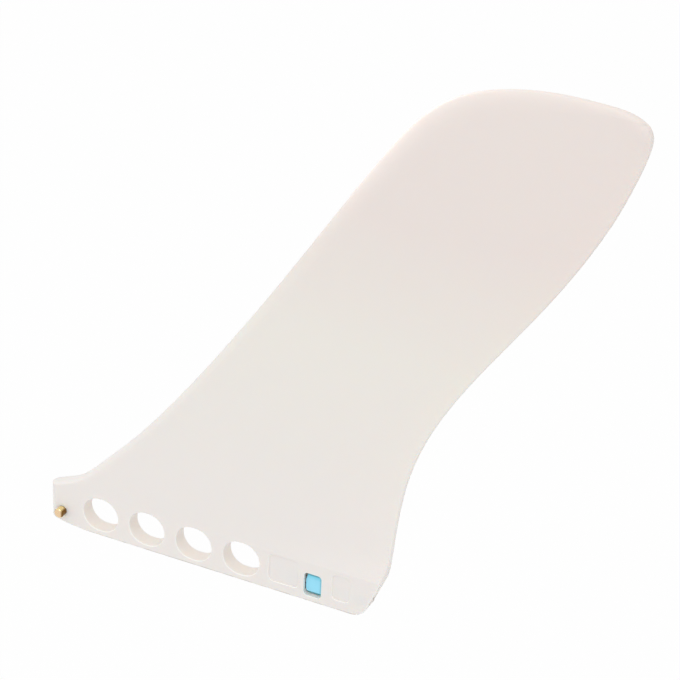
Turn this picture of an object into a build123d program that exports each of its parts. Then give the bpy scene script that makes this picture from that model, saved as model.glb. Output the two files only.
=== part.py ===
from build123d import *
import math
import os

os.makedirs("parts", exist_ok=True)

# Centre fin of a paddleboard: one moulding with a flat tongue for the board's fin box and a swept foil
# blade above it, a brass cross pin at the front of the tongue and a quarter-turn latch at its rear.
# X runs from the leading edge to the rear, Y across the fin and Z up the blade, in millimetres.
# The origin is on the cross pin's axis, in the fin's middle plane.

# Tongue
tongue_thick = 9.3
tongue_height = 23.7
root_chord = 197.6
rear_lean = 22.4
heel_round = 9.0
toe_rise = 3.6
toe_length = 27.0
edge_round = 1.0

# Blade
blade_depth = 278.0
tip_thick = 4.6
trailing_thick = 2.3
heel_fade_share = 0.019
nose_tip_length = 1.8
nose_swell_length = 11.0
nose_swell_power = 3
nose_limit_share = 0.35
full_thick_share = 0.45
taper_place_share = 0.75
taper_share = 0.3
trailing_cut_share = 0.5
tip_round_share = 0.17
tip_gap_share = 0.002
stations = 17

# The blade's two edges, from the tongue's top to the tip, in percent of the root chord behind the
# nose and in percent of the blade's depth above the tongue.
leading_percents = [
    (0, 0), (5.4, 1.5), (13.1, 5.6), (32.0, 20.2), (51.7, 39.0), (72.6, 61.2),
    (93.6, 84.3), (101.7, 91.7), (115.1, 98.2), (126.9, 99.9), (150.1, 99.7), (155.2, 98.3),
]
trailing_percents = [
    (100, 0), (100.7, 1.4), (101.9, 7.3), (105.9, 25.8), (114.8, 39.9), (125.5, 51.8),
    (136.6, 63.5), (148.4, 78.4), (155.7, 92.1), (155.8, 97.8), (155.2, 98.3),
]
nose_climb = 25.0
tip_turn = 38.0

# Cross pin, moulded into the front of the tongue by its necked middle
pin_dia = 5.5
pin_length = 18.0
pin_chamfer = 0.5
pin_neck_depth = 0.4
pin_shoulder_gap = 0.15
pin_setback = 8.0
pin_height = 9.0

# Lightening holes
hole_count = 4
hole_pitch = 28.5
hole_first = 24.0
hole_base_gap = 3.45
hole_top_gap = 0.75
hole_stretch = 2.0
hole_rim = 0.4

# Latch window
window_start = 146.3
window_length = 10.1
window_height = 13.7
window_rise = 10.25
window_round = 2.3
window_rim = 0.25

# Shallow panels in both flanks, ahead of the window and behind it
panel_depth = 0.7
panel_round = 3.0
panel_rim = 0.3
front_panel_start = 125.8
front_panel_length = 17.4
front_panel_base_gap = 5.8
front_panel_top_gap = 1.7
rear_panel_gap = 6.1
rear_panel_length = 10.0
rear_panel_base_gap = 6.1
rear_panel_top_gap = 2.5

# Latch bar and its spindle
bar_thick = 4.5
bar_front_gap = 0.12
bar_rear_gap = 0.15
bar_end_gap = 0.35
bar_corner = 2.0
bar_low_corner = 3.2
bar_lead = 1.5
bar_lead_height = 5.4
bar_edge = 0.3
drive_width = 2.8
shaft_dia = 4.4
tip_dia = 2.6
journal_clear = 0.08
knob_dia = 7.0
knob_clear = 0.15
knob_length = 4.0
knob_proud = 0.4
knob_seat_gap = 0.1
slot_width = 1.2
slot_depth = 1.5

# Latch spring, round the spindle's tip, in a pocket that is tall enough to drain
pocket_depth = 9.0
pocket_height = 11.6
pocket_clear = 0.2
spring_dia = 4.8
spring_wire = 0.6
spring_turns = 3.5
spring_rub_gap = 0.02
pilot_depth = 5.0
tip_end_gap = 0.5

# Places that several pieces share
half_thick = tongue_thick / 2
neck_radius = pin_dia / 2 - pin_neck_depth
nose_x = -pin_setback
base_z = -pin_height
top_z = base_z + tongue_height
rear_x = nose_x + root_chord
heel_x = rear_x - tongue_height * math.tan(math.radians(rear_lean))
latch_z = base_z + window_rise
window_end = window_start + window_length
bar_start = window_start + bar_front_gap
bar_end = window_end - bar_rear_gap
bar_reach = window_height / 2 - bar_end_gap
pocket_floor = window_start - pocket_depth
pilot_floor = pocket_floor - pilot_depth
latch_axis = Axis((0, 0, latch_z), (1, 0, 0))
slope_x = rear_x - (top_z - latch_z) * math.tan(math.radians(rear_lean))
knob_end = slope_x + knob_proud
knob_start = knob_end - knob_dia / 2 - knob_length
tip_end = pilot_floor + tip_end_gap
hole_height = tongue_height - hole_base_gap - hole_top_gap
hole_z = base_z + hole_base_gap + hole_height / 2
front_panel_height = tongue_height - front_panel_base_gap - front_panel_top_gap
rear_panel_height = tongue_height - rear_panel_base_gap - rear_panel_top_gap
front_panel_x = front_panel_start + front_panel_length / 2
rear_panel_x = window_end + rear_panel_gap + rear_panel_length / 2
coil_radius = (spring_dia - spring_wire) / 2
spring_travel = bar_start - spring_rub_gap - pocket_floor - spring_wire

with BuildLine(Plane.XZ) as leading:
    Spline(
        [(nose_x + root_chord * x / 100, top_z + blade_depth * z / 100) for x, z in leading_percents],
        tangents=[
            (math.cos(math.radians(nose_climb)), math.sin(math.radians(nose_climb))),
            (math.cos(math.radians(tip_turn)), -math.sin(math.radians(tip_turn))),
        ],
        tangent_scalars=(1, 1),
    )

with BuildLine(Plane.XZ) as trailing:
    Spline(
        [(nose_x + root_chord * x / 100, top_z + blade_depth * z / 100) for x, z in trailing_percents],
        tangents=[
            (math.sin(math.radians(rear_lean)), math.cos(math.radians(rear_lean))),
            (-math.cos(math.radians(tip_turn)), math.sin(math.radians(tip_turn))),
        ],
        tangent_scalars=(1, 1),
    )

with BuildPart() as fin_body:
    # Tongue: a flat bar with a fully rounded nose in plan
    with BuildSketch(Plane.XY.offset(base_z)):
        with BuildLine():
            CenterArc((nose_x + half_thick, 0), half_thick, 90, 180)
            Polyline(
                (nose_x + half_thick, -half_thick),
                (rear_x, -half_thick),
                (rear_x, half_thick),
                (nose_x + half_thick, half_thick),
            )
        make_face()
    extrude(amount=tongue_height)

    # Its side outline: relieved toe, straight base, rounded heel and a rear end that leans back
    with BuildSketch(Plane.XZ) as side:
        with BuildLine():
            TangentArc(
                (nose_x + toe_length, base_z),
                (nose_x, base_z + toe_rise),
                tangent=(-1, 0),
            )
            Polyline(
                (nose_x, base_z + toe_rise),
                (nose_x, top_z),
                (rear_x, top_z),
                (heel_x, base_z),
                (nose_x + toe_length, base_z),
            )
        make_face()
        fillet(side.vertices().sort_by_distance((heel_x, base_z))[0], heel_round)
    extrude(amount=tongue_thick, both=True, mode=Mode.INTERSECT)
    flank_edges = fin_body.edges().group_by(Axis.Y)[0] + fin_body.edges().group_by(Axis.Y)[-1]
    fillet(flank_edges - fin_body.edges().group_by(Axis.Z)[-1], edge_round)

    # Blade: foil sections at the same share of the way along both edges
    for station in range(stations):
        share = (1 - math.cos(math.pi * station / (stations - 1))) / 2 * (1 - tip_gap_share)
        front = leading.line @ share
        chord_line = (trailing.line @ share) - front
        chord = chord_line.length
        deep = min((tongue_thick + (tip_thick - tongue_thick) * share) / 2, tip_round_share * chord)
        heel = 1 / (1 + (share / heel_fade_share) ** 2)
        thin = min((trailing_thick + (tongue_thick - trailing_thick) * heel) / 2, deep)
        nose = half_thick * (1 - share) + nose_tip_length * share
        nose = nose + nose_swell_length * math.sin(math.pi * share**nose_swell_power)
        nose = min(nose, nose_limit_share * chord)
        taper = deep + (thin - deep) * taper_share
        section = Plane(
            origin=front,
            x_dir=chord_line,
            z_dir=Vector(-chord_line.Z, 0, chord_line.X),
        )
        cut = min(edge_round, trailing_cut_share * thin)
        with BuildSketch(section):
            with BuildLine():
                EllipticalCenterArc((nose, 0), nose, deep, start_angle=90, arc_size=90)
                Spline(
                    (nose, deep),
                    (full_thick_share * chord, deep),
                    (taper_place_share * chord, taper),
                    (chord - cut, thin),
                )
                Line((chord - cut, thin), (chord, thin - cut))
                mirror(about=Plane.XZ)
                Line((chord, cut - thin), (chord, thin - cut))
            make_face()
    loft()

    # Lightening holes, in a row along the tongue
    with BuildSketch(Plane.XZ):
        for hole in range(hole_count):
            with Locations((hole_first + hole * hole_pitch, hole_z)):
                SlotOverall(hole_height + hole_stretch, hole_height)
    extrude(amount=tongue_thick, both=True, mode=Mode.SUBTRACT)
    chamfer(fin_body.edges(Select.LAST).filter_by(Plane.XZ), hole_rim)

    # Window for the latch bar, right through
    with BuildSketch(Plane.XZ):
        with Locations(((window_start + window_end) / 2, latch_z)):
            RectangleRounded(window_length, window_height, window_round)
    extrude(amount=tongue_thick, both=True, mode=Mode.SUBTRACT)
    chamfer(fin_body.edges(Select.LAST).filter_by(Plane.XZ), window_rim)

    # Shallow panels ahead of the window and behind it, in both flanks
    for flank, outermost in ((1, 0), (-1, -1)):
        with BuildSketch(Plane.XZ.offset(flank * half_thick)):
            with Locations((front_panel_x, base_z + front_panel_base_gap + front_panel_height / 2)):
                RectangleRounded(front_panel_length, front_panel_height, panel_round)
            with Locations((rear_panel_x, base_z + rear_panel_base_gap + rear_panel_height / 2)):
                RectangleRounded(rear_panel_length, rear_panel_height, panel_round)
        extrude(amount=-flank * panel_depth, mode=Mode.SUBTRACT)
        chamfer(fin_body.edges(Select.LAST).filter_by(Plane.XZ).group_by(Axis.Y)[outermost], panel_rim)

    # Latch passage, one line of bores from the rear end: knob seat, shaft bore and the tip's pilot
    for start, end, radius in (
        (knob_start - knob_seat_gap, rear_x, knob_dia / 2 + knob_clear),
        (window_end - window_round, knob_start, shaft_dia / 2 + journal_clear),
        (pilot_floor, pocket_floor, tip_dia / 2 + journal_clear),
    ):
        with BuildSketch(Plane.YZ.offset(start)):
            with Locations((0, latch_z)):
                Circle(radius)
        extrude(amount=end - start, mode=Mode.SUBTRACT)

    # Spring pocket: a tall slot in the window's front wall
    with BuildSketch(Plane.YZ.offset(pocket_floor)):
        with Locations((0, latch_z)):
            SlotOverall(pocket_height, spring_dia + 2 * pocket_clear, rotation=90)
    extrude(amount=pocket_depth + window_round, mode=Mode.SUBTRACT)

    # Bore round the cross pin's neck
    with BuildSketch(Plane.XZ):
        Circle(neck_radius)
    extrude(amount=tongue_thick, both=True, mode=Mode.SUBTRACT)

with BuildPart() as front_pin:
    with BuildSketch(Plane.XZ):
        Circle(pin_dia / 2)
    extrude(amount=pin_length / 2, both=True)
    chamfer(front_pin.edges().filter_by(GeomType.CIRCLE), pin_chamfer)
    with BuildSketch(Plane.XZ):
        Circle(pin_dia / 2)
        Circle(neck_radius, mode=Mode.SUBTRACT)
    extrude(amount=half_thick + pin_shoulder_gap, both=True, mode=Mode.SUBTRACT)

with BuildPart() as latch_bar:
    # Side outline of the bar, with a slanted lead-in at the front of its upper wing
    with BuildSketch(Plane.XZ) as bar_side:
        with BuildLine():
            Polyline(
                (bar_start, latch_z - bar_reach),
                (bar_end, latch_z - bar_reach),
                (bar_end, latch_z + bar_reach),
                (bar_start + bar_lead, latch_z + bar_reach),
                (bar_start, latch_z + bar_reach - bar_lead_height),
                close=True,
            )
        make_face()
        low_front = (bar_start, latch_z - bar_reach)
        fillet(bar_side.vertices().sort_by_distance(low_front)[0], bar_low_corner)
        fillet(bar_side.vertices().sort_by_distance(low_front)[2:], bar_corner)
    extrude(amount=bar_thick / 2, both=True)
    chamfer(latch_bar.edges().filter_by(Plane.XZ), bar_edge)
    # Its ends are round about the spindle, so that it can turn in the window
    with BuildSketch(Plane.YZ.offset(bar_start)):
        with Locations((0, latch_z)):
            Circle(bar_reach)
    extrude(amount=bar_end - bar_start, mode=Mode.INTERSECT)
    # Square hole for the spindle
    with BuildSketch(Plane.YZ.offset(bar_start)):
        with Locations((0, latch_z)):
            Rectangle(drive_width, drive_width)
    extrude(amount=bar_end - bar_start, mode=Mode.SUBTRACT)

with BuildPart() as latch_spindle:
    # Turned profile: tip journal, shaft and domed knob
    with BuildSketch(Plane.XZ):
        with BuildLine():
            Polyline(
                (tip_end, latch_z),
                (tip_end, latch_z + tip_dia / 2),
                (bar_end, latch_z + tip_dia / 2),
                (bar_end, latch_z + shaft_dia / 2),
                (knob_start, latch_z + shaft_dia / 2),
                (knob_start, latch_z + knob_dia / 2),
                (knob_end - knob_dia / 2, latch_z + knob_dia / 2),
            )
            RadiusArc(
                (knob_end - knob_dia / 2, latch_z + knob_dia / 2), (knob_end, latch_z), knob_dia / 2
            )
            Line((knob_end, latch_z), (tip_end, latch_z))
        make_face()
    revolve(axis=latch_axis)
    # Square drive through the bar
    with BuildSketch(Plane.YZ.offset(bar_start)):
        with Locations((0, latch_z)):
            Rectangle(drive_width, drive_width)
    extrude(amount=bar_end - bar_start)
    # Coin slot across the knob
    with BuildSketch(Plane.YZ.offset(knob_end - slot_depth)):
        with Locations((0, latch_z)):
            Rectangle(slot_width, 2 * knob_dia)
    extrude(amount=2 * slot_depth, mode=Mode.SUBTRACT)

# Coil of flat-sided wire
with BuildPart() as latch_spring:
    with BuildLine() as coil:
        Helix(
            pitch=spring_travel / spring_turns,
            height=spring_travel,
            radius=coil_radius,
            center=(pocket_floor + spring_wire / 2, 0, latch_z),
            direction=(1, 0, 0),
        )
    coil_start = coil.line @ 0
    outwards = coil_start - Vector(coil_start.X, 0, latch_z)
    with BuildSketch(Plane(origin=coil_start, x_dir=outwards, z_dir=coil.line % 0)):
        Rectangle(spring_wire, spring_wire)
    sweep(is_frenet=True)

fin_body.part.label = "fin_body"
export_step(fin_body.part, "parts/fin_body.step")
front_pin.part.label = "front_pin"
export_step(front_pin.part, "parts/front_pin.step")
latch_bar.part.label = "latch_bar"
export_step(latch_bar.part, "parts/latch_bar.step")
latch_spindle.part.label = "latch_spindle"
export_step(latch_spindle.part, "parts/latch_spindle.step")
latch_spring.part.label = "latch_spring"
export_step(latch_spring.part, "parts/latch_spring.step")
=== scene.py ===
import math

import bpy
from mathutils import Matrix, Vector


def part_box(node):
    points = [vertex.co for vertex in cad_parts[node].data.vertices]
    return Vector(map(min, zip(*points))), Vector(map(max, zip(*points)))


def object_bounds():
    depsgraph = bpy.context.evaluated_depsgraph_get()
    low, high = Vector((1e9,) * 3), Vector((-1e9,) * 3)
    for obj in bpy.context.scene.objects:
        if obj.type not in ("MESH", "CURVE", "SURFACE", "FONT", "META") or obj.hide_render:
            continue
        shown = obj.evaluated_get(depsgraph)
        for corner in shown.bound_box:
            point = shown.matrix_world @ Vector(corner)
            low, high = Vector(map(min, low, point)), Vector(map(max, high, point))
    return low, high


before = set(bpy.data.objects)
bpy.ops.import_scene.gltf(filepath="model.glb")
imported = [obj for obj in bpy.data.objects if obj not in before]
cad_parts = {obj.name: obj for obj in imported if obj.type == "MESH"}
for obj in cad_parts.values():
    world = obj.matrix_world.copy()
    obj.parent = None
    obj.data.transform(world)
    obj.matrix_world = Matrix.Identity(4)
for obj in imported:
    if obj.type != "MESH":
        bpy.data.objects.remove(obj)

cad_low, cad_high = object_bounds()
bpy.context.scene.view_settings.view_transform = "Standard"


# FIN MOULDING
# The tongue and the blade are one injection moulding in white glass-filled nylon. The steel mould is
# lightly etched, so the skin has a satin gloss with a fine grain, a little smoother than eggshell.

mm = 0.001
tongue_white = "#F1ECE8"
middle_white = "#EFEBE4"
tip_white = "#ECE3DE"
tongue_share = 0.15
middle_share = 0.5
tip_share = 0.75
cloud_size = 45 * mm
clouding = 0.03
# The etched grain is finer than this, too fine to show, so it is drawn coarser
grain_size = 0.6 * mm
grain_height = 0.05 * mm
flank_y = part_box("fin_body")[1][1]
tongue_top = 14.7 * mm
tongue_fade = 1 * mm
nose_end = 5 * mm
nose_fade = 2 * mm
# Going in from the flank: each colour, how deep it starts and how deep it is full
# The first colour is a painted highlight on the rims, and the last a painted warm light on the walls
painted_rim_highlight = "#FDFAF4"
painted_warm_wall_light = "#F4EDE6"
depths = (
    (painted_rim_highlight, 0, 0.1 * mm),
    (tongue_white, 0.4 * mm, 0.44 * mm),
    (painted_warm_wall_light, 0.8 * mm, 0.9 * mm),
)
# A painted shade on the lower corners: its grey, where it starts and is full above the base, and its patches
lower_corner_shade_grey = "#D0CCC7"
lower_corner_shade_start = 1.2 * mm
lower_corner_shade_full = 0.72 * mm
lower_corner_shade_patch = 6 * mm
lower_corner_shade_least = 0.3
lower_corner_shade_most = 0.6


def linear(hex_code):
    """Turns an sRGB hex value into Blender's linear colour."""
    parts = [int(hex_code[place:place + 2], 16) / 255 for place in (1, 3, 5)]
    return [part / 12.92 if part <= 0.04045 else ((part + 0.055) / 1.055) ** 2.4 for part in parts] + [1]


def add(tree, kind, links=None, **settings):
    """Adds a node, sets its properties or sockets by name, and links its sockets to other nodes' outputs."""
    made = tree.nodes.new(kind)
    for name, value in settings.items():
        socket = name.replace("_", " ")
        if hasattr(made, name):
            setattr(made, name, value)
        else:
            made.inputs[socket].default_value = value
    for name, source in (links or {}).items():
        tree.links.new(source, made.inputs[name])
    return made


def new_material(name):
    """Starts an empty material and returns it with its node tree."""
    made = bpy.data.materials.new(name)
    made.use_nodes = True
    made.node_tree.nodes.clear()
    return made, made.node_tree


def give(node_name, surface):
    """Puts a finish in the material slots of a CAD piece."""
    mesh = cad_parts[node_name].data
    for place in range(len(mesh.materials)):
        mesh.materials[place] = surface


# Satin white nylon: a soft wide highlight. Up the blade the white turns a little darker and warmer than on
# the tongue, and clouding so slight that it only breaks up the flat tone goes all over it.
nylon, tree = new_material("satin white glass-filled nylon")
place = add(tree, "ShaderNodeTexCoord")
axes = add(tree, "ShaderNodeSeparateXYZ", {"Vector": place.outputs["Object"]})
climb = add(tree, "ShaderNodeMapRange", {"Value": axes.outputs["Z"]}, From_Min=0.0, From_Max=cad_high[2])
clouds = add(
    tree, "ShaderNodeTexNoise", {"Vector": place.outputs["Object"]}, Scale=1 / cloud_size, Detail=2.0
)
drift = add(
    tree, "ShaderNodeMath", {0: clouds.outputs["Fac"], 2: climb.outputs["Result"]},
    operation="MULTIPLY_ADD",
)
drift.inputs[1].default_value = clouding
tone = add(tree, "ShaderNodeValToRGB", {"Fac": drift.outputs[0]})
stops = tone.color_ramp.elements
stops.new(middle_share)
for stop, share, colour in zip(
    stops, (tongue_share, middle_share, tip_share), (tongue_white, middle_white, tip_white)
):
    stop.position = share
    stop.color = linear(colour)
white = tone.outputs["Color"]

# In the tongue, a painted warm light makes the walls of the holes and the window a little warmer than the
# flanks, and a painted highlight makes the rims between them a little paler.
across = add(tree, "ShaderNodeMath", {0: axes.outputs["Y"]}, operation="ABSOLUTE")
behind = add(
    tree, "ShaderNodeMapRange", {"Value": axes.outputs["X"]},
    From_Min=nose_end, From_Max=nose_end + nose_fade,
)
tongue = add(
    tree, "ShaderNodeMapRange", {"Value": axes.outputs["Z"], "To Max": behind.outputs["Result"]},
    From_Min=tongue_top, From_Max=tongue_top - tongue_fade,
)
for colour, start, full in depths:
    inside = add(
        tree, "ShaderNodeMapRange", {"Value": across.outputs[0], "To Max": tongue.outputs["Result"]},
        From_Min=flank_y - start, From_Max=flank_y - full,
    )
    mixed = add(tree, "ShaderNodeMix", {"Factor": inside.outputs["Result"], "A": white}, data_type="RGBA")
    mixed.inputs["B"].default_value = linear(colour)
    white = mixed.outputs[2]

# Painted shade: the lower corners, which slide down into the fin box, are darkened a little grey, unevenly,
# for the shade on their downward rounding
shade_patches = add(
    tree, "ShaderNodeTexNoise", {"Vector": place.outputs["Object"]}, Scale=1 / lower_corner_shade_patch, Detail=2.0
)
shade_patchiness = add(
    tree, "ShaderNodeMapRange", {"Value": shade_patches.outputs["Fac"]}, From_Min=lower_corner_shade_least, From_Max=lower_corner_shade_most
)
lower_corner_shade = add(
    tree, "ShaderNodeMapRange", {"Value": axes.outputs["Z"], "To Max": shade_patchiness.outputs["Result"]},
    From_Min=cad_low[2] + lower_corner_shade_start, From_Max=cad_low[2] + lower_corner_shade_full,
)
mixed = add(tree, "ShaderNodeMix", {"Factor": lower_corner_shade.outputs["Result"], "A": white}, data_type="RGBA")
mixed.inputs["B"].default_value = linear(lower_corner_shade_grey)
white = mixed.outputs[2]

grain = add(
    tree, "ShaderNodeTexNoise", {"Vector": place.outputs["Object"]}, Scale=1 / grain_size, Detail=3.0
)
etch = add(tree, "ShaderNodeBump", {"Height": grain.outputs["Fac"]}, Strength=0.06, Distance=grain_height)
skin = add(
    tree, "ShaderNodeBsdfPrincipled", {"Base Color": white, "Normal": etch.outputs["Normal"]},
    Roughness=0.42, IOR=1.53, Subsurface_Weight=0.3, Subsurface_Scale=3 * mm,
)
skin.inputs["Subsurface Radius"].default_value = (1.0, 0.75, 0.55)
add(tree, "ShaderNodeOutputMaterial", {"Surface": skin.outputs["BSDF"]})
give("fin_body", nylon)


# CROSS PIN
# A turned brass pin, moulded into the tongue, with a small chamfer at each end. Its colour has light painted
# into
# it: a painted highlight on its upper side, a paler painted reflection on its ends, and brown painted shade
# and dark reflection at its root and its rear side, a little less at its front side.

side_highlight_gold = "#F8E2A4"
end_reflection_gold = "#EECFA8"
pin_shade_brown = "#835F31"
root_shade_length = 0.9 * mm
end_start = 0.3 * mm
end_full = 0.1 * mm
pin_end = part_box("front_pin")[1][1]
pin_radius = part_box("front_pin")[1][2]
# Where the painted dark reflection and shade starts and is full, in radii behind the pin's axis, and how
# strong it is
rear_start = 0.45
rear_full = 0.8
front_start = -0.5
front_full = -0.72
front_strength = 0.8
# The tool's marks on a real pin are about 0.1 mm apart, too fine to show, so these rings are coarser
pin_ring = 1.57 * mm
ring_height = 0.03 * mm
# The wave texture turns through this many radians over one unit of its scale
wave_radians = 20

# Turned brass: a warm yellow gloss, with rings that break up its highlights
brass, tree = new_material("turned brass")
place = add(tree, "ShaderNodeTexCoord")
rings = add(
    tree, "ShaderNodeTexWave", {"Vector": place.outputs["Object"]},
    wave_type="RINGS", rings_direction="Y", Scale=2 * math.pi / wave_radians / pin_ring, Distortion=0.4,
)
cut = add(tree, "ShaderNodeBump", {"Height": rings.outputs["Fac"]}, Strength=0.15, Distance=ring_height)
axes = add(tree, "ShaderNodeSeparateXYZ", {"Vector": place.outputs["Object"]})
across = add(tree, "ShaderNodeMath", {0: axes.outputs["Y"]}, operation="ABSOLUTE")
root = add(
    tree, "ShaderNodeMapRange", {"Value": across.outputs[0]},
    From_Min=flank_y + root_shade_length, From_Max=flank_y,
)
end = add(
    tree, "ShaderNodeMapRange", {"Value": across.outputs[0]},
    From_Min=pin_end - end_start, From_Max=pin_end - end_full,
)
rear = add(
    tree, "ShaderNodeMapRange", {"Value": axes.outputs["X"]},
    From_Min=rear_start * pin_radius, From_Max=rear_full * pin_radius,
)
front = add(
    tree, "ShaderNodeMapRange", {"Value": axes.outputs["X"]},
    From_Min=front_start * pin_radius, From_Max=front_full * pin_radius, To_Max=front_strength,
)
side = add(tree, "ShaderNodeMath", {1: end.outputs["Result"]}, operation="SUBTRACT")
side.inputs[0].default_value = 1.0
front_side = add(
    tree, "ShaderNodeMath", {0: front.outputs["Result"], 1: side.outputs[0]}, operation="MULTIPLY"
)
# Painted shade and dark reflection: brown at the root, on the rear side and, less, on the front side
painted_dark_share = add(
    tree, "ShaderNodeMath", {0: root.outputs["Result"], 1: rear.outputs["Result"]}, operation="MAXIMUM"
)
painted_dark_share = add(tree, "ShaderNodeMath", {0: painted_dark_share.outputs[0], 1: front_side.outputs[0]}, operation="MAXIMUM")
bright = add(tree, "ShaderNodeMix", {"Factor": end.outputs["Result"]}, data_type="RGBA")
bright.inputs["A"].default_value = linear(side_highlight_gold)
bright.inputs["B"].default_value = linear(end_reflection_gold)
tint = add(tree, "ShaderNodeMix", {"Factor": painted_dark_share.outputs[0], "A": bright.outputs[2]}, data_type="RGBA")
tint.inputs["B"].default_value = linear(pin_shade_brown)
metal = add(
    tree, "ShaderNodeBsdfPrincipled", {"Base Color": tint.outputs[2], "Normal": cut.outputs["Normal"]},
    Metallic=1.0, Roughness=0.2,
)
add(tree, "ShaderNodeOutputMaterial", {"Surface": metal.outputs["BSDF"]})
give("front_pin", brass)


# LATCH BAR
# The light blue bar in the window, moulded in acetal. It turns with the spindle that runs through it, and
# its two ends then stand out of the tongue's flanks.

bar_blue = "#9CE6FF"
# Painted shade: the deeper blue towards the top and the teal along the borders stand for the window's shade
shade_blue = "#6CD6EE"
painted_shade_teal = "#4A8A92"
bar_low, bar_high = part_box("latch_bar")
face_start = 0.35 * mm
face_full = 0.035 * mm
shade_start = 4.5 * mm
shade_full = 1.5 * mm
# Each painted shade border's axis and edge, how far from that edge its teal starts and is full, and how
# strong it is
painted_shade_borders = (
    ("Z", bar_high[2], -2.4 * mm, -1.7 * mm, 0.6),
    ("Z", bar_low[2], 1.4 * mm, 0.9 * mm, 1.0),
    ("X", bar_high[0], -1.8 * mm, -1.2 * mm, 0.35),
)
# The moulded skin's grain is drawn coarser than it is too
bar_grain = 0.4 * mm
bar_grain_height = 0.03 * mm

# Moulded acetal is dense and waxy, with a soft sheen. On both faces of the bar a painted shade deepens the
# blue towards the top, and painted shade puts a deeper teal line along the borders, where they lie in the
# window's shade.
acetal_blue, tree = new_material("light blue acetal")
place = add(tree, "ShaderNodeTexCoord")
axes = add(tree, "ShaderNodeSeparateXYZ", {"Vector": place.outputs["Object"]})
across = add(tree, "ShaderNodeMath", {0: axes.outputs["Y"]}, operation="ABSOLUTE")
face = add(
    tree, "ShaderNodeMapRange", {"Value": across.outputs[0]},
    From_Min=bar_high[1] - face_start, From_Max=bar_high[1] - face_full,
)
shade = add(
    tree, "ShaderNodeMapRange", {"Value": axes.outputs["Z"], "To Max": face.outputs["Result"]},
    From_Min=bar_high[2] - shade_start, From_Max=bar_high[2] - shade_full,
)
blue = add(tree, "ShaderNodeMix", {"Factor": shade.outputs["Result"]}, data_type="RGBA")
blue.inputs["A"].default_value = linear(bar_blue)
blue.inputs["B"].default_value = linear(shade_blue)
for axis, edge, start, full, strength in painted_shade_borders:
    near = add(
        tree, "ShaderNodeMapRange", {"Value": axes.outputs[axis]},
        From_Min=edge + start, From_Max=edge + full, To_Max=strength,
    )
    line = add(
        tree, "ShaderNodeMath", {0: near.outputs["Result"], 1: face.outputs["Result"]}, operation="MULTIPLY"
    )
    blue = add(tree, "ShaderNodeMix", {"Factor": line.outputs[0], "A": blue.outputs[2]}, data_type="RGBA")
    blue.inputs["B"].default_value = linear(painted_shade_teal)
grain = add(
    tree, "ShaderNodeTexNoise", {"Vector": place.outputs["Object"]}, Scale=1 / bar_grain, Detail=2.0
)
etch = add(
    tree, "ShaderNodeBump", {"Height": grain.outputs["Fac"]}, Strength=0.05, Distance=bar_grain_height
)
wax = add(
    tree, "ShaderNodeBsdfPrincipled", {"Base Color": blue.outputs[2], "Normal": etch.outputs["Normal"]},
    Roughness=0.35, IOR=1.48,
)
add(tree, "ShaderNodeOutputMaterial", {"Surface": wax.outputs["BSDF"]})
give("latch_bar", acetal_blue)


# LATCH SPINDLE
# The white acetal spindle whose domed, slotted knob shows in the sloping rear end. It is turned on a
# lathe, carries the bar on its square and runs in the moulding's bores.

spindle_white = "#E6E1DC"
spindle_ring = 1.885 * mm
spindle_ring_height = 0.02 * mm
spindle_low, spindle_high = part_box("latch_spindle")

# Turned acetal: the bar's waxy sheen, with faint rings round the spindle's own axis, drawn about as coarse
# as the pin's
acetal_white, tree = new_material("turned white acetal")
place = add(tree, "ShaderNodeTexCoord")
centred = add(tree, "ShaderNodeVectorMath", {0: place.outputs["Object"]}, operation="SUBTRACT")
centred.inputs[1].default_value = (0.0, 0.0, (spindle_low[2] + spindle_high[2]) / 2)
rings = add(
    tree, "ShaderNodeTexWave", {"Vector": centred.outputs[0]},
    wave_type="RINGS", rings_direction="X", Scale=2 * math.pi / wave_radians / spindle_ring, Distortion=0.3,
)
cut = add(
    tree, "ShaderNodeBump", {"Height": rings.outputs["Fac"]}, Strength=0.1, Distance=spindle_ring_height
)
wax = add(
    tree, "ShaderNodeBsdfPrincipled", {"Normal": cut.outputs["Normal"]},
    Base_Color=linear(spindle_white), Roughness=0.35, IOR=1.48,
)
add(tree, "ShaderNodeOutputMaterial", {"Surface": wax.outputs["BSDF"]})
give("latch_spindle", acetal_white)


# LATCH SPRING
# A coil of flat-sided stainless wire round the spindle's tip, in the dark pocket ahead of the bar. It
# presses on the bar, so that the latch doesn't rattle.

wire_grey = "#B9BABA"
streak_size = 0.2 * mm
least_rough = 0.22
most_rough = 0.38

# Drawing the wire through its die leaves it bright, with faint streaks that show as changes in gloss
wire, tree = new_material("drawn stainless wire")
place = add(tree, "ShaderNodeTexCoord")
streaks = add(
    tree, "ShaderNodeTexNoise", {"Vector": place.outputs["Object"]}, Scale=1 / streak_size, Detail=1.0
)
gloss = add(
    tree, "ShaderNodeMapRange", {"Value": streaks.outputs["Fac"]}, To_Min=least_rough, To_Max=most_rough
)
metal = add(
    tree, "ShaderNodeBsdfPrincipled", {"Roughness": gloss.outputs["Result"]},
    Base_Color=linear(wire_grey), Metallic=1.0,
)
add(tree, "ShaderNodeOutputMaterial", {"Surface": metal.outputs["BSDF"]})
give("latch_spring", wire)


# STUDIO
# A white paper floor well under the fin, and a white room all round it. Soft lamps light the fin from above
# and from the front, a weak one lights its leading edge, and a narrow one the shoulder of that edge.

floor_drop = 0.16
floor_size = 12.0
paper_white = "#E8E8E8"
pure_white = "#FFFFFF"
glow_share = 0.97
room_strength = 0.85
centre = (0.15, 0, 0.14)
shoulder = (0.186, 0, 0.26)


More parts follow.
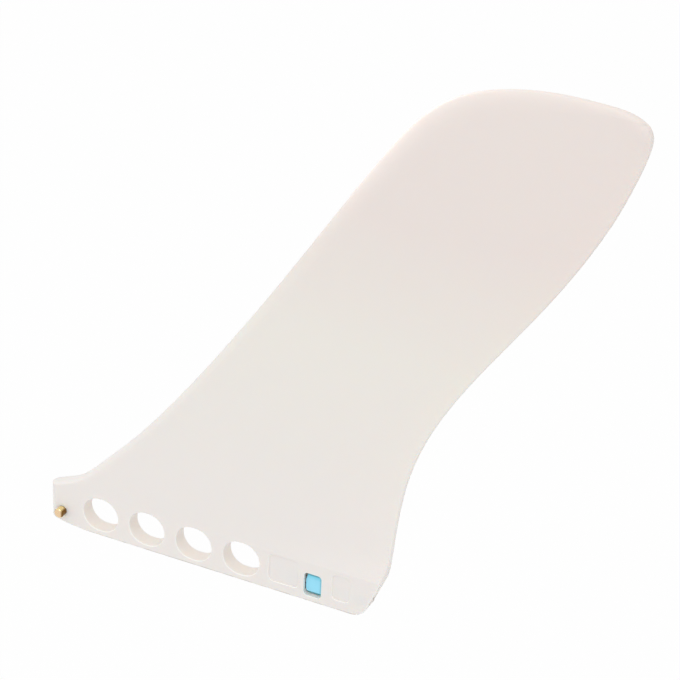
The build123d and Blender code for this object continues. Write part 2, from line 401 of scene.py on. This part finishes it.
def straight_ray(tree):
    """Gives 1 for what the camera sees directly, in gloss or through glass, and 0 for light on the fin."""
    ray = add(tree, "ShaderNodeLightPath")
    seen = add(
        tree, "ShaderNodeMath", {0: ray.outputs["Is Camera Ray"], 1: ray.outputs["Is Glossy Ray"]},
        operation="MAXIMUM",
    )
    seen = add(
        tree, "ShaderNodeMath", {0: seen.outputs[0], 1: ray.outputs["Is Transmission Ray"]},
        operation="MAXIMUM",
    )
    return seen.outputs[0]


def hang(name, kind, at, aim, power, **settings):
    """Hangs a lamp of a kind at a place, aimed at a point."""
    lamp = bpy.data.lights.new(name, kind)
    lamp.energy = power
    for setting, value in settings.items():
        setattr(lamp, setting, value)
    hung = bpy.data.objects.new(name, lamp)
    hung.location = at
    away = hung.location - type(hung.location)(aim)
    hung.rotation_euler = away.to_track_quat("Z", "Y").to_euler()
    bpy.context.collection.objects.link(hung)


# Matt white paper: nearly all of what the camera sees of it is plain white, and the rest keeps the fin's
# shadow. Its underside is clear, so that a view from below shows the fin.
bpy.ops.mesh.primitive_plane_add(size=floor_size, location=(centre[0], 0, cad_low[2] - floor_drop))
floor = bpy.context.object
floor.name = "studio_floor"
paper, tree = new_material("white paper floor")
glowing = add(tree, "ShaderNodeMath", {0: straight_ray(tree)}, operation="MULTIPLY")
glowing.inputs[1].default_value = glow_share
matt = add(tree, "ShaderNodeBsdfDiffuse", Color=linear(paper_white))
glow = add(tree, "ShaderNodeEmission", Color=linear(pure_white), Strength=1.0)
both = add(
    tree, "ShaderNodeMixShader", {0: glowing.outputs[0], 1: matt.outputs["BSDF"], 2: glow.outputs["Emission"]}
)
facing = add(tree, "ShaderNodeNewGeometry")
clear = add(tree, "ShaderNodeBsdfTransparent")
one_way = add(
    tree, "ShaderNodeMixShader",
    {0: facing.outputs["Backfacing"], 1: both.outputs["Shader"], 2: clear.outputs["BSDF"]},
)
add(tree, "ShaderNodeOutputMaterial", {"Surface": one_way.outputs["Shader"]})
floor.data.materials.append(paper)

world = bpy.data.worlds.new("white room")
bpy.context.scene.world = world
world.use_nodes = True
tree = world.node_tree
tree.nodes.clear()
room = add(tree, "ShaderNodeBackground", Color=linear(pure_white), Strength=room_strength)
plain = add(tree, "ShaderNodeBackground", Color=linear(pure_white), Strength=1.0)
both = add(
    tree, "ShaderNodeMixShader",
    {0: straight_ray(tree), 1: room.outputs["Background"], 2: plain.outputs["Background"]},
)
add(tree, "ShaderNodeOutputWorld", {"Surface": both.outputs["Shader"]})

hang("key from above", "AREA", (0.0, -1.0, 1.9), centre, power=5, size=1.2)
hang("side light from the left", "AREA", (-1.9, 0.25, 0.62), centre, power=1, size=0.9)
hang("fill from the front", "AREA", (0.5, -2.2, 0.5), centre, power=5.5, size=1.5)
hang(
    "snooted light on the shoulder", "SPOT", (-1.2, 0.1, 0.95), shoulder, power=60,
    spot_size=math.radians(4), spot_blend=1.0, shadow_soft_size=0.05,
)


# CAMERA
# Where the photograph was taken from, above the fin and to the right of it, with a lens of about 114 mm on
# a full frame. Its place and turn were fitted to the outline in the photograph.

photo_width = 680
focal_px = 2150
full_frame_mm = 36
camera_place = (0.53788, -0.84596, 0.63224)
camera_turn = (62.249, -2.668, 25.603)
view_reach = 30

eye = bpy.data.cameras.new("photo camera")
eye.sensor_width = full_frame_mm
eye.lens = focal_px * full_frame_mm / photo_width
eye.clip_end = view_reach
camera = bpy.data.objects.new("photo camera", eye)
camera.location = camera_place
camera.rotation_euler = [math.radians(angle) for angle in camera_turn]
bpy.context.collection.objects.link(camera)
bpy.context.scene.camera = camera
